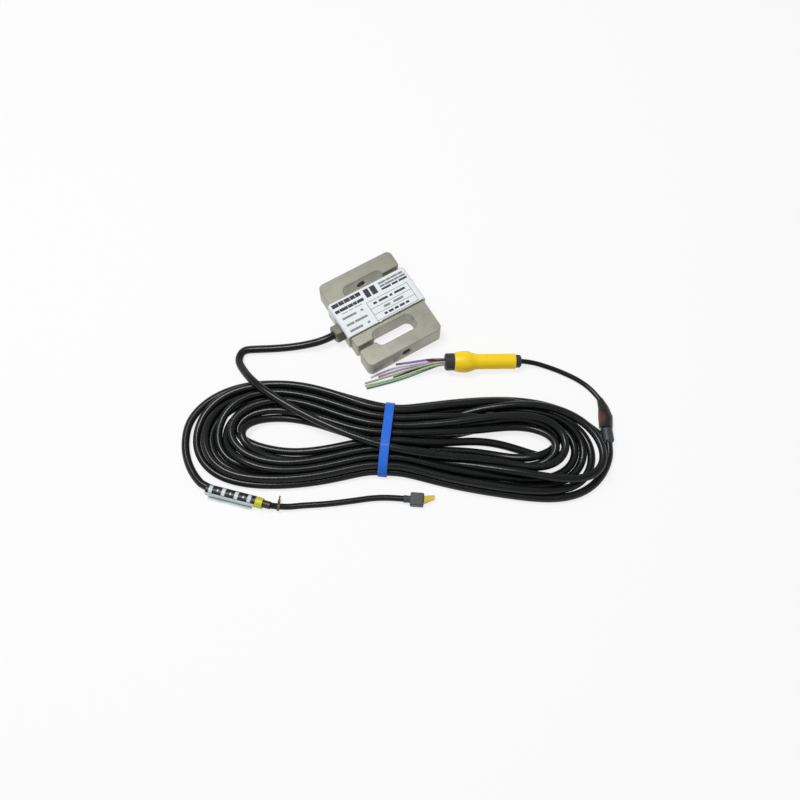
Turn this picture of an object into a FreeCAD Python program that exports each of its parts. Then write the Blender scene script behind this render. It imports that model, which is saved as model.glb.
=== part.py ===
import FreeCAD, Part

import math
import os

from FreeCAD import Vector

# S type load cell lying on its back face, with its cable in a tied hank.
# Millimetres. X is the width, Y the loading axis, Z up; the origin is the
# middle of the beam's lower face.

# ---- beam ----
beam_width = 50.8
beam_length = 63.5
beam_thick = 12.7
corner_radius = 3.5
edge_break = 0.4

arm_thick = 8.75            # end face to window
window_length = 27.2
window_width = 11.0
window_corner = 4.0
gap_width = 2.6             # saw gap from a window to the side face
gap_offset = 0.5            # the gap lies this far outside the window's middle
gap_mouth_radius = 1.6

load_bore_radius = 2.75     # tapping size of 1/4-28
load_sink_radius = 3.4
load_sink_depth = 0.8

# ---- gauge cavity and what it holds ----
pocket_radius = 8.2         # two round pockets, joined by a slot
pocket_pitch = 19.0
pocket_slot = 7.0
back_cover_thick = 0.8
back_cover_margin = 1.6     # the back plate is this much larger than the cavity
gauge_width = 6.0
gauge_height = 5.0
gauge_thick = 0.25
board_length = 15.0
board_width = 6.0
board_thick = 1.2
resistor_radius = 0.7
resistor_length = 3.2
resistor_pitch = 3.6
bridge_wire_radius = 0.4
bridge_wire_pitch = 0.9     # at the cable's end
bridge_pad_pitch = 1.3

# ---- channel cover and its label ----
cover_sheet = 1.2
cover_start = -9.4          # near edge along Y
cover_end = 16.4            # far edge along Y
cover_bend = 1.8            # outer bend radius
cover_flange_gap = 1.0      # the flanges stop this far above the lower face
label_thick = 0.2
label_inset = 0.3           # the label's edges lie inside the cover's edges
label_flap = 9.0            # how far the label folds down the sides
label_gland_gap = 1.0       # the left flap stops this far short of the gland
label_tab_x = -4.9          # a small tab that folds over the cover's near edge
label_tab_width = 1.3
label_tab_drop = 0.9

# ---- gland ----
gland_y = 0.5
gland_flats = 10.4
gland_hex_length = 5.4
gland_chamfer = 1.1         # along the axis
gland_chamfer_rise = 1.75   # and how far it comes in at the face
gland_thread_radius = 3.7
gland_thread_length = 5.5   # inside the beam
gland_fit = 0.05            # radial clearance of thread in bore
seal_radius = 3.0
seal_depth = 3.0
entry_length = 3.0          # cable jacket past the thread, inside the cavity

# ---- cords ----
cable_radius = 2.35
tail_radius = 1.8
pigtail_radius = 1.5
wire_radius = 0.65

# ---- where the hank lies: its tie, and the way its runs point ----
tie_x = -39.5
tie_y = -74.5
hank_turn = -30.9           # degrees about Z

# ---- hank and its tie ----
waist_pitch = 5.0           # spacing of the strands at the tie
waist_lower = 9             # strands in the lower row, one fewer lie on them
waist_crest = 3             # the lead lies on this strand of the upper row
waist_middle = 2.3          # the bundle's middle lies this far behind the tie's
strap_width = 5.3
strap_thick = 0.8
strap_skew = -6.0           # degrees about Z

# ---- splice boot and shrink sleeve at the right end ----
boot_radius = 3.6
boot_round = 1.2
shrink_flat = 0.4           # the sleeve is this much wider and lower than the boot
shrink_wall = 0.35          # over the thin cable

# ---- breakout sleeve ----
collar_in_radius = 3.9
collar_in_length = 3.4
collar_in_round = 1.4
sleeve_radius = 4.6
sleeve_bulge = 6.5
sleeve_mouth = 5.7
sleeve_length = 36.8
sleeve_neck_share = 0.6     # the straight part of the sleeve
sleeve_belly_share = 0.82   # where it is widest
sleeve_edge = 0.5
collar_out_radius = 5.2
collar_out_length = 5.6
collar_out_chamfer = 0.8

# ---- marked end of the return lead ----
marker_length = 29.0
marker_wall = 0.9
flap_width = 4.6
flap_thick = 0.4
flap_inset = 1.5            # the flap is this much shorter than its sleeve at each end
ring_gap = 0.2
ring_length = 4.2
ring_wall = 0.8
jacket_end_length = 4.0
jacket_end_radius = 2.2
mini_tie_place = 3.8        # along the thin tail from the jacket's end
mini_tie_wall = 0.6
mini_tie_width = 1.5
mini_tie_head = 2.2
mini_tie_head_height = 1.6
mini_tie_tail = 3.6
mini_tie_tail_width = 0.9
mini_tie_tail_thick = 0.5

# ---- connector ----
connector_length = 7.8
connector_width = 7.6
connector_height = 4.8
connector_round = 0.8
connector_taper = 3.6
connector_wall = 0.4        # round the thin tail where it goes in
connector_slant = -4.6      # degrees from the way of the hank's runs
tip_length = 6.0
tip_root = 4.4
tip_end = 2.0
tip_offset = 0.2            # the tip's middle from the connector's axis
tip_end_offset = 2.2

gland_z = beam_thick / 2
waist_rise = waist_pitch * math.sqrt(3) / 2
waist_low = strap_thick + cable_radius
waist_shoulder = waist_low + waist_rise + cable_radius
waist_top = waist_shoulder + waist_rise
waist_half = (waist_lower - 1) * waist_pitch / 2
window_y = beam_length / 2 - arm_thick - window_width / 2
side_x = beam_width / 2
gland_face_x = -(side_x + cover_sheet + gland_hex_length)


def lay(u, v, z=0.0):
    """A point given along and across the hank, in the part's frame."""
    turn = math.radians(hank_turn)
    x = tie_x + u * math.cos(turn) - v * math.sin(turn)
    y = tie_y + u * math.sin(turn) + v * math.cos(turn)
    return Vector(x, y, z)


def lay_all(points):
    return [lay(*point) for point in points]


def smooth_edges(points, closed=False):
    """Straight runs joined by the largest tangent arcs that the runs allow."""
    count = len(points)
    corners = range(count) if closed else range(1, count - 1)
    cuts = {}
    radii = []
    for i in corners:
        before, here, after = points[i - 1], points[i], points[(i + 1) % count]
        way_in = (here - before).normalize()
        way_out = (after - here).normalize()
        half_turn = way_in.getAngle(way_out) / 2
        reach = 0.45 * min((here - before).Length, (after - here).Length)
        radius = reach / math.tan(half_turn)
        inward = (way_out - way_in).normalize()
        crown = here + inward * (radius / math.cos(half_turn) - radius)
        cuts[i] = (here - way_in * reach, crown, here + way_out * reach)
        radii.append(radius)
    edges = []
    for i in range(count if closed else count - 1):
        j = (i + 1) % count
        start = cuts[i][2] if i in cuts else points[i]
        end = cuts[j][0] if j in cuts else points[j]
        edges.append(Part.LineSegment(start, end).toShape())
        if j in cuts:
            edges.append(Part.Arc(*cuts[j]).toShape())
    return edges, radii


def cord_tube(name, points, radius):
    """A round tube along a route, with its tightest arc and volume printed."""
    edges, radii = smooth_edges(points)
    path = Part.Wire(edges)
    section = Part.Wire(Part.makeCircle(radius, points[0], points[1] - points[0]))
    tube = path.makePipeShell([section], True, False)
    full = math.pi * radius ** 2 * path.Length
    print("%s: length %.1f, tightest arc %.1f, volume ratio %.4f"
          % (name, path.Length, min(radii), tube.Volume / full))
    return tube


def box(size, corner):
    return Part.makeBox(size[0], size[1], size[2], Vector(*corner))


def centred_box(size, middle):
    corner = [middle[k] - size[k] / 2 for k in range(3)]
    return box(size, corner)


def round_upright(shape, radius, chosen):
    """Fillet the vertical edges whose middle passes a test."""
    edges = []
    for edge in shape.Edges:
        low, high = edge.BoundBox.ZMin, edge.BoundBox.ZMax
        upright = high - low > 1.0 and edge.BoundBox.XLength + edge.BoundBox.YLength < 0.01
        if upright and chosen(edge.CenterOfMass):
            edges.append(edge)
    return shape.makeFillet(radius, edges)


def flat_outline_edges(shape, level):
    return [edge for edge in shape.Edges
            if abs(edge.BoundBox.ZMin - level) < 0.01 and abs(edge.BoundBox.ZMax - level) < 0.01]


def place_along(shape, start, end):
    """Move a shape built along +X from the origin so that it runs from start to end."""
    turned = FreeCAD.Rotation(Vector(1, 0, 0), end - start)
    level = turned.multVec(Vector(0, 0, 1))
    moved = shape.copy()
    moved.Placement = FreeCAD.Placement(start, turned)
    if level.z < 0:
        moved.rotate(start, end - start, 180)
    return moved


def revolve_about_x(profile):
    """A solid of revolution from (x, radius) points, closed along the X axis."""
    rim = [Vector(x, 0, radius) for x, radius in profile]
    first, last = Vector(profile[0][0], 0, 0), Vector(profile[-1][0], 0, 0)
    face = Part.Face(Part.makePolygon([first] + rim + [last, first]))
    return face.revolve(Vector(0, 0, 0), Vector(1, 0, 0), 360)


# ---- the beam and its sealed pocket ----
def make_beam():
    beam = centred_box((beam_width, beam_length, beam_thick), (0, 0, beam_thick / 2))
    beam = round_upright(beam, corner_radius, lambda middle: True)
    for side in (1, -1):
        window = centred_box((window_length, window_width, beam_thick),
                             (0, side * window_y, beam_thick / 2))
        window = round_upright(window, window_corner, lambda middle: True)
        gap_length = side_x - window_length / 2 + window_corner
        gap_middle = (side * (side_x - gap_length / 2), side * (window_y + gap_offset),
                      beam_thick / 2)
        gap = centred_box((gap_length, gap_width, beam_thick), gap_middle)
        beam = beam.cut(window.fuse(gap))
    beam = beam.removeSplitter()
    beam = round_upright(beam, gap_mouth_radius,
                         lambda middle: abs(abs(middle.x) - side_x) < 0.01
                         and abs(abs(middle.y) - window_y - gap_offset) < gap_width)
    rims = flat_outline_edges(beam, 0) + flat_outline_edges(beam, beam_thick)
    beam = beam.makeChamfer(edge_break, rims)
    beam = beam.cut(make_cavity(pocket_radius, pocket_slot, 0, beam_thick))
    beam = beam.cut(make_back_plate())
    for side in (1, -1):
        start = Vector(0, side * beam_length / 2, beam_thick / 2)
        way = Vector(0, -side, 0)
        beam = beam.cut(Part.makeCylinder(load_bore_radius, arm_thick, start, way))
        beam = beam.cut(Part.makeCone(load_sink_radius, load_bore_radius,
                                      load_sink_depth, start, way))
    entry = Vector(-side_x, gland_y, gland_z)
    bore_length = side_x - pocket_pitch / 2 - pocket_radius / 2
    return beam.cut(Part.makeCylinder(gland_thread_radius + gland_fit, bore_length,
                                      entry, Vector(1, 0, 0)))


def make_cavity(radius, slot, low, high):
    """The two round pockets and the slot between them, as a solid."""
    shape = centred_box((pocket_pitch, slot, high - low), (0, 0, (low + high) / 2))
    for side in (1, -1):
        centre = Vector(side * pocket_pitch / 2, 0, low)
        shape = shape.fuse(Part.makeCylinder(radius, high - low, centre))
    return shape.removeSplitter()


def make_back_plate():
    return make_cavity(pocket_radius + back_cover_margin,
                       pocket_slot + 2 * back_cover_margin, 0, back_cover_thick)


def make_gauge(side_x_way, side_y_way):
    """A foil gauge bonded to the thin wall between a pocket and a window."""
    centre = Vector(side_x_way * pocket_pitch / 2, 0, (beam_thick - gauge_height) / 2)
    ring = Part.makeCylinder(pocket_radius, gauge_height, centre)
    ring = ring.cut(Part.makeCylinder(pocket_radius - gauge_thick, gauge_height, centre))
    patch = centred_box((gauge_width, pocket_radius, gauge_height),
                        (centre.x, side_y_way * pocket_radius, beam_thick / 2))
    return ring.common(patch)


def make_board():
    return centred_box((board_length, board_width, board_thick),
                       (0, 0, back_cover_thick + board_thick / 2))


def make_resistors():
    level = back_cover_thick + board_thick + resistor_radius
    bodies = []
    for step in (-1, 0, 1):
        start = Vector(step * resistor_pitch, -resistor_length / 2, level)
        bodies.append(Part.makeCylinder(resistor_radius, resistor_length, start,
                                        Vector(0, 1, 0)))
    return Part.Compound(bodies)


def make_bridge_wires():
    """Four cores from the cable's end, bent down to the pads on the board."""
    jacket_end_x = -side_x + gland_thread_length + entry_length
    board_top = back_cover_thick + board_thick
    pad_x = -board_length / 2 + bridge_wire_radius
    cores = []
    for place in (-1.5, -0.5, 0.5, 1.5):
        y_start = gland_y + place * bridge_wire_pitch
        y_pad = place * bridge_pad_pitch
        points = [Vector(jacket_end_x, y_start, gland_z), Vector(pad_x, y_pad, gland_z),
                  Vector(pad_x, y_pad, board_top)]
        edges, radii = smooth_edges(points)
        section = Part.Wire(Part.makeCircle(bridge_wire_radius, points[0],
                                            points[1] - points[0]))
        cores.append(Part.Wire(edges).makePipeShell([section], True, False))
    return Part.Compound(cores)


# ---- channel cover and label ----
def channel(half_width, top, bend, length, start, low):
    """A solid block with its two upper edges rounded, running along Y."""
    block = box((2 * half_width, length, top - low), (-half_width, start, low))
    if bend > 0:
        upper = [edge for edge in block.Edges
                 if abs(edge.CenterOfMass.z - top) < 0.01 and edge.BoundBox.XLength < 0.01]
        block = block.makeFillet(bend, upper)
    return block


def make_cover():
    length = cover_end - cover_start
    outer = channel(side_x + cover_sheet, beam_thick + cover_sheet, cover_bend,
                    length, cover_start, cover_flange_gap)
    inner = box((beam_width, length, beam_thick), (-side_x, cover_start, 0))
    hole = Part.makeCylinder(gland_thread_radius + gland_fit, cover_sheet,
                             Vector(-side_x - cover_sheet, gland_y, gland_z),
                             Vector(1, 0, 0))
    return outer.cut(inner).cut(hole)


def make_label():
    start = cover_start + label_inset
    length = cover_end - cover_start - 2 * label_inset
    top = beam_thick + cover_sheet + label_thick
    low = top - label_flap
    outer = channel(side_x + cover_sheet + label_thick, top, cover_bend + label_thick,
                    length, start, low)
    inner = channel(side_x + cover_sheet, top - label_thick, cover_bend,
                    length, start, cover_flange_gap)
    label = outer.cut(inner)
    flap_end = gland_y + gland_flats / math.sqrt(3) + label_gland_gap
    clear = box((side_x, flap_end - start, label_flap - cover_bend - label_thick),
                (-2 * side_x, start, low))
    label = label.cut(clear)
    tab = box((label_tab_width, label_inset, label_thick),
              (label_tab_x, cover_start, top - label_thick))
    drop = box((label_tab_width, label_thick, label_tab_drop + label_thick),
               (label_tab_x, cover_start - label_thick, top - label_tab_drop - label_thick))
    return label.fuse(tab).fuse(drop).removeSplitter()


# ---- gland ----
def make_gland():
    seat = Vector(-(side_x + cover_sheet), gland_y, gland_z)
    across = gland_flats / math.sqrt(3)
    corners = []
    for step in range(7):
        angle = math.radians(60 * step)
        corners.append(seat + Vector(0, across * math.cos(angle), across * math.sin(angle)))
    hexagon = Part.Face(Part.makePolygon(corners)).extrude(Vector(-gland_hex_length, 0, 0))
    nose = revolve_about_x([(0, across), (gland_hex_length - gland_chamfer, across),
                            (gland_hex_length, across - gland_chamfer_rise)])
    nose = place_along(nose, seat, seat - Vector(1, 0, 0))
    body = hexagon.common(nose)
    thread = Part.makeCylinder(gland_thread_radius, cover_sheet + gland_thread_length,
                               seat, Vector(1, 0, 0))
    body = body.fuse(thread)
    face = Vector(gland_face_x, gland_y, gland_z)
    whole = gland_hex_length + cover_sheet + gland_thread_length
    body = body.cut(Part.makeCylinder(cable_radius, whole, face, Vector(1, 0, 0)))
    return body.cut(Part.makeCylinder(seal_radius, seal_depth, face, Vector(1, 0, 0)))


def make_seal():
    face = Vector(gland_face_x, gland_y, gland_z)
    ring = Part.makeCylinder(seal_radius, seal_depth, face, Vector(1, 0, 0))
    return ring.cut(Part.makeCylinder(cable_radius, seal_depth, face, Vector(1, 0, 0)))


def make_entry_cable():
    face = Vector(gland_face_x, gland_y, gland_z)
    length = -side_x + gland_thread_length + entry_length - gland_face_x
    return Part.makeCylinder(cable_radius, length, face, Vector(1, 0, 0))


# ---- the hank and its tie ----
hank_outline = [(0, 25.4), (-48, 38.5), (-84, 39), (-108, 26), (-118.6, 8), (-115, -8),
                (-104, -19.5), (-86, -26.5), (-44, -27.5), (0, -20.4), (44, -31.5),
                (88, -37), (120, -33), (132, -15), (122, 12), (96, 24.6), (46, 24.6)]
hank_top = [(-125, 7), (-95, 9.4), (-60, 9.6), (-14, waist_shoulder), (14, waist_shoulder),
            (60, 13.5), (96, 12), (135, 7.5)]
left_opening = [(-84, 10), (-74, 15.5), (-50, 13.5), (-20, -0.5), (-52, -5), (-76, 1)]
right_opening = [(46, 2), (60, 10), (86, 10), (97, 0), (91, -9), (62, -5)]
lead_lane = (-112.4, 12.0)  # beyond this u and nearer than this v only the return lead lies


def flat_shape(points, low, high):
    edges, radii = smooth_edges([lay(u, v, low) for u, v in points], closed=True)
    return Part.Face(Part.Wire(edges)).extrude(Vector(0, 0, high - low))


def waist_core(grow, length):
    """The outline drawn tight round the strands at the tie, grown by a wall."""
    crest = (waist_crest - waist_lower / 2) * waist_pitch
    strands = [(-waist_half, 0), (waist_half, 0), (waist_half - waist_pitch / 2, waist_rise),
               (crest, 2 * waist_rise), (waist_pitch / 2 - waist_half, waist_rise)]
    corners = [Vector(-length / 2, waist_middle + v, waist_low + z) for v, z in strands]
    face = Part.Face(Part.makePolygon(corners + corners[:1]))
    core = face.makeOffset2D(cable_radius + grow).extrude(Vector(length, 0, 0))
    core.rotate(Vector(0, 0, 0), Vector(0, 0, 1), strap_skew + hank_turn)
    core.translate(lay(0, 0))
    return core


def make_strap():
    return waist_core(strap_thick, strap_width).cut(waist_core(0, 2 * strap_width))


def make_hank(boot):
    """The bundle's outer shape: its outline from above and its height along it."""
    hank = flat_shape(hank_outline, 0, waist_top)
    for opening in (left_opening, right_opening):
        hank = hank.cut(flat_shape(opening, 0, waist_top))
    top, radii = smooth_edges([Vector(u, 0, z) for u, z in hank_top])
    ends = [Vector(u, 0, z) for u, z in (hank_top[-1], (hank_top[-1][0], 0),
                                         (hank_top[0][0], 0), hank_top[0])]
    sides = Part.Face(Part.Wire(top + Part.makePolygon(ends).Edges))
    reach = 4 * waist_half  # more than the hank's half width
    sides.translate(Vector(0, -reach, 0))
    sides = sides.extrude(Vector(0, 2 * reach, 0))
    lane = box((reach, 2 * reach, waist_top),
               (lead_lane[0] - reach, lead_lane[1] - 2 * reach, 0))
    for shape in (sides, lane):
        shape.rotate(Vector(0, 0, 0), Vector(0, 0, 1), hank_turn)
        shape.translate(lay(0, 0))
    around_strap = waist_core(reach, strap_width).cut(waist_core(0, 2 * strap_width))
    hank = hank.common(sides).cut(lane).cut(around_strap).cut(boot)
    return hank.fuse(waist_core(0, strap_width)).removeSplitter()


# ---- cord routes, along and across the hank ----
lead_straight = 6.0         # the lead leaves the gland on its axis for this long
lead_route = [(-46.0, 63.5, 4.2), (-57.0, 62.1, 2.8), (-68.0, 61.3, 2.35),
              (-79.0, 60.9, 2.35), (-87.0, 60.3, 2.35), (-89.3, 53.0, 2.9),
              (-84.8, 44.6, 6.4), (-78.9, 36.6, 10.4), (-72.8, 30.5, 11.3),
              (-61.2, 22.5, 11.3), (-48.0, 14.9, 11.3), (-34.3, 8.1, 11.5),
              (-19.7, 1.3, 11.7), (-8.0, -3.0, 11.8), (-1.0, -5.0, 11.8)]
return_route = [(-115.4, 12.0, 2.35), (-116.5, 4.2, 2.35), (-116.0, -4.4, 2.35),
                (-113.6, -12.6, 2.35), (-109.0, -20.8, 2.6)]
marker_start = (-101.6, -28.3, 3.3)
marker_end = (-65.0, -37.9, 3.3)
tail_route = [(-65.0, -37.9, 3.3), (-57.5, -38.6, 2.1), (-47.0, -37.4, 1.8),
              (-33.5, -36.6, 1.8), (-19.5, -34.8, 1.8), (-6.5, -32.8, 1.8),
              (4.5, -32.9, 2.1), (10.2, -33.6, 2.4)]
boot_start = (128.6, -0.4, 3.6)
boot_end = (127.9, 9.2, 3.6)
pigtail_route = [(126.2, 28.0, 1.9), (121.9, 34.8, 1.5), (113.8, 41.4, 1.5),
                 (103.4, 46.8, 1.5), (93.6, 50.3, 2.2), (86.6, 51.7, 3.6),
                 (80.4, 51.9, 4.6)]
shrink_swell = ((128.3, 16.5, 3.1), 4.3, 2.9)   # a station, its half width and half height
shrink_neck = ((127.7, 22.6, 2.4), 3.1, 2.2)
sleeve_right = pigtail_route[-1]
sleeve_left = (34.6, 50.0, 7.4)


def make_lead(hank, strap):
    start = Vector(gland_face_x, gland_y, gland_z)
    points = [start, start - Vector(lead_straight, 0, 0)] + lay_all(lead_route)
    return cord_tube("cable_lead", points, cable_radius).cut(hank).cut(strap)


def make_boot():
    start, end = lay(*boot_start), lay(*boot_end)
    length = (end - start).Length
    profile = [(0, boot_radius - boot_round), (boot_round, boot_radius),
               (length - boot_round, boot_radius), (length, boot_radius - boot_round)]
    return place_along(revolve_about_x(profile), start, end)


def oval(middle, way, half_wide, half_tall):
    """An upright oval wire across a level way, wider than it is tall."""
    up = Vector(0, 0, 1)
    side = up.cross(way).normalize()
    edge = Part.Ellipse(Vector(0, 0, 0), half_wide, half_tall).toShape()
    edge.Placement = FreeCAD.Placement(middle, FreeCAD.Rotation(side, up, way, "ZXY"))
    return Part.Wire(edge)


def make_shrink():
    """Shrink sleeve, flattened behind the boot and tight on the thin cable."""
    stations = [(boot_end, boot_radius + shrink_flat, boot_radius - shrink_flat),
                shrink_swell, shrink_neck,
                (pigtail_route[0], pigtail_radius + shrink_wall, pigtail_radius + shrink_wall)]
    places = [lay(*station[0]) for station in stations]
    rings = []
    for i, (middle, half_wide, half_tall) in enumerate(stations):
        before = places[max(i - 1, 0)]
        after = places[min(i + 1, len(places) - 1)]
        way = after - before
        way.z = 0
        rings.append(oval(places[i], way.normalize(), half_wide, half_tall))
    return Part.makeLoft(rings, True, True)


# ---- breakout sleeve and its wires ----
def breakout_piece(profile, offset):
    start, end = lay(*sleeve_right), lay(*sleeve_left)
    way = (end - start).normalize()
    return place_along(revolve_about_x(profile), start + way * offset, end + way * offset)


def make_collar_in():
    profile = [(0, collar_in_radius - collar_in_round)]
    for step in (1, 2, 3):
        angle = math.radians(30 * step)
        profile.append((collar_in_round * (1 - math.cos(angle)),
                        collar_in_radius - collar_in_round * (1 - math.sin(angle))))
    return breakout_piece(profile + [(collar_in_length, collar_in_radius)], 0)


def make_sleeve():
    """A sleeve that swells over the splice and draws in again at its mouth."""
    neck = sleeve_length * sleeve_neck_share
    belly = sleeve_length * sleeve_belly_share
    lip = sleeve_length - sleeve_edge
    profile = [(0, sleeve_radius - sleeve_edge), (sleeve_edge, sleeve_radius)]
    for step in range(9):
        share = step / 8
        rise = (1 - math.cos(math.pi * share)) / 2
        profile.append((neck + share * (belly - neck),
                        sleeve_radius + rise * (sleeve_bulge - sleeve_radius)))
    for step in range(1, 7):
        share = step / 6
        profile.append((belly + share * (lip - belly),
                        sleeve_bulge - share ** 2 * (sleeve_bulge - sleeve_mouth)))
    return breakout_piece(profile + [(sleeve_length, sleeve_mouth - sleeve_edge)],
                          collar_in_length)


def make_collar_out():
    profile = [(0, collar_out_radius),
               (collar_out_length - collar_out_chamfer, collar_out_radius),
               (collar_out_length, collar_out_radius - collar_out_chamfer)]
    return breakout_piece(profile, collar_in_length + sleeve_length)


# each wire: aside and up on the collar's face, then two places on its way and its tip
wires = {
    "brown": ((3.3, 1.2), (27.5, 53.8, 4.4), (23.5, 54.3, 2.0), (19.5, 53.9, 0.7)),
    "violet": ((2.4, -1.5), (24.0, 52.4, 1.7), (14.0, 52.4, 0.8), (6.0, 51.7, 0.7)),
    "lilac": ((1.4, 1.6), (24.0, 51.4, 3.5), (8.0, 50.2, 0.8), (-9.0, 43.8, 0.7)),
    "grey": ((0.5, -1.3), (24.0, 50.3, 1.6), (8.0, 48.4, 0.7), (-3.0, 44.6, 0.7)),
    "beige": ((-0.5, 1.6), (24.0, 49.4, 3.4), (8.0, 46.7, 0.8), (-12.9, 39.9, 0.7)),
    "black": ((-1.4, -1.4), (24.0, 48.3, 1.6), (13.0, 45.9, 0.8), (4.5, 43.8, 0.7)),
    "light_green": ((-2.4, 1.4), (24.0, 47.2, 3.4), (8.0, 43.1, 0.8), (-12.6, 37.8, 0.7)),
    "green": ((-3.3, -1.2), (24.0, 46.0, 1.7), (8.0, 41.4, 0.8), (-11.8, 36.0, 0.7)),
}
wire_straight = 3.0         # the wires leave the collar on its axis for this long


def make_wire(colour):
    start, end = lay(*sleeve_right), lay(*sleeve_left)
    way = (end - start).normalize()
    side = Vector(0, 0, 1).cross(way).normalize()
    rise = way.cross(side)
    (aside, up), *places = wires[colour]
    face = start + way * (collar_in_length + sleeve_length + collar_out_length)
    root = face - side * aside + rise * up
    points = [root, root + way * wire_straight] + lay_all(places)
    return cord_tube("wire_" + colour, points, wire_radius)


# ---- marked end of the return lead ----
def make_marker_pieces():
    start, end = lay(*marker_start), lay(*marker_end)
    way = (end - start).normalize()
    core_length = (end - start).Length - jacket_end_length
    core = Part.makeCylinder(cable_radius, core_length, start, way)
    outer = cable_radius + marker_wall
    sleeve = Part.makeCylinder(outer, marker_length, start, way).cut(core)
    ring_start = start + way * (marker_length + ring_gap)
    ring = Part.makeCylinder(cable_radius + ring_wall, ring_length, ring_start, way).cut(core)
    last = Part.makeCylinder(jacket_end_radius, jacket_end_length,
                             start + way * core_length, way)
    flap = box((marker_length - 2 * flap_inset, flap_width, flap_thick),
               (flap_inset, -flap_width, -outer))
    flap = place_along(flap, start, end).cut(sleeve)
    return core, sleeve, ring, last, flap


def make_mini_tie(tail_tube):
    """A small tie round the thin tail, its head and cut end on the far side."""
    start, ahead = lay_all(tail_route[:2])
    way = (ahead - start).normalize()
    near = start + way * mini_tie_place
    band = Part.makeCylinder(tail_radius + mini_tie_wall, mini_tie_width, near, way)
    head_side = tail_radius + mini_tie_head / 2
    head = centred_box((mini_tie_width, mini_tie_head, mini_tie_head_height),
                       (mini_tie_width / 2, head_side, 0))
    tail = centred_box((mini_tie_tail_width, mini_tie_tail, mini_tie_tail_thick),
                       (mini_tie_width / 2, head_side + mini_tie_tail / 2, 0))
    grip = place_along(head.fuse(tail), near, near + way)
    return band.fuse(grip).cut(tail_tube)


def make_connector():
    """The moulded housing with its tapered entry, and the tongue at its far end."""
    back = lay(*tail_route[-1])
    turn = math.radians(connector_slant)
    way = lay(math.cos(turn), math.sin(turn)) - lay(0, 0)
    middle = connector_height / 2 - back.z
    body = centred_box((connector_length, connector_width, connector_height),
                       (connector_taper + connector_length / 2, 0, middle))
    body = body.makeFillet(connector_round, body.Edges)
    throat = Part.Wire(Part.makeCircle(tail_radius + connector_wall, Vector(0, 0, 0),
                                       Vector(1, 0, 0)))
    mouth = Part.Wire(Part.makeCircle(connector_height / 2 - connector_wall,
                                      Vector(connector_taper + connector_round, 0, middle),
                                      Vector(1, 0, 0)))
    body = body.fuse(Part.makeLoft([throat, mouth], True))
    reach = connector_taper + connector_length
    low = middle - connector_height / 4
    corners = [Vector(reach, tip_offset - tip_root / 2, low),
               Vector(reach, tip_offset + tip_root / 2, low),
               Vector(reach + tip_length, tip_end_offset + tip_end / 2, low),
               Vector(reach + tip_length, tip_end_offset - tip_end / 2, low)]
    outline = Part.makePolygon(corners + corners[:1])
    tip = Part.Face(outline).extrude(Vector(0, 0, connector_height / 2))
    return place_along(body, back, back + way), place_along(tip, back, back + way)


def build_all():
    boot = make_boot()
    hank = make_hank(boot)
    strap = make_strap()
    core, sleeve, ring, last, flap = make_marker_pieces()
    connector, tip = make_connector()
    collar_in = make_collar_in()
    shrink = make_shrink().cut(boot)
    board = make_board()
    entry = make_entry_cable()
    seal = make_seal()
    pigtail = cord_tube("pigtail_cable", lay_all(pigtail_route), pigtail_radius)
    returning = cord_tube("return_lead", lay_all(return_route) + [lay(*marker_start)],
                          cable_radius)
    tail = cord_tube("tail_cable", lay_all(tail_route), tail_radius).cut(last).cut(connector)
    nodes = {
        "s_beam_body": make_beam(),
        "gauge_cover": make_cover(),
        "back_plate": make_back_plate(),
        "label": make_label(),
        "terminal_board": board,
        "trim_resistors": make_resistors(),
        "bridge_wires": make_bridge_wires().cut(entry).cut(board),
        "gland_body": make_gland(),
        "gland_seal": seal,
        "entry_cable": entry,
        "cable_lead": make_lead(hank, strap),
        "cable_hank": hank,
        "tie_strap": strap,
        "splice_boot": boot,
        "shrink_sleeve": shrink,
        "pigtail_cable": pigtail.cut(shrink).cut(collar_in),
        "breakout_collar_in": collar_in,
        "breakout_sleeve": make_sleeve(),
        "breakout_collar_out": make_collar_out(),
        "return_lead": returning.cut(hank).cut(core).cut(sleeve),
        "marked_length": core,
        "marker_sleeve": sleeve,
        "marker_flap": flap,
        "tape_ring": ring,
        "jacket_end": last,
        "tail_cable": tail,
        "mini_tie": make_mini_tie(tail),
        "connector_body": connector,
        "connector_tip": tip,
    }
    for number, (x_way, y_way) in enumerate(((-1, 1), (1, 1), (-1, -1), (1, -1)), 1):
        nodes["strain_gauge_%d" % number] = make_gauge(x_way, y_way)
    for colour in wires:
        nodes["wire_" + colour] = make_wire(colour)
    return nodes


def save_all(nodes):
    os.makedirs("parts", exist_ok=True)
    for name, shape in nodes.items():
        if len(shape.Solids) == 1:
            shape = shape.Solids[0]
        if not shape.isValid() or not shape.Solids:
            print("bad shape:", name)
        shape.exportStep("parts/%s.step" % name)
        print("%-20s %d solid(s), %.1f mm3" % (name, len(shape.Solids), shape.Volume))


save_all(build_all())
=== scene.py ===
import math

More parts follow.
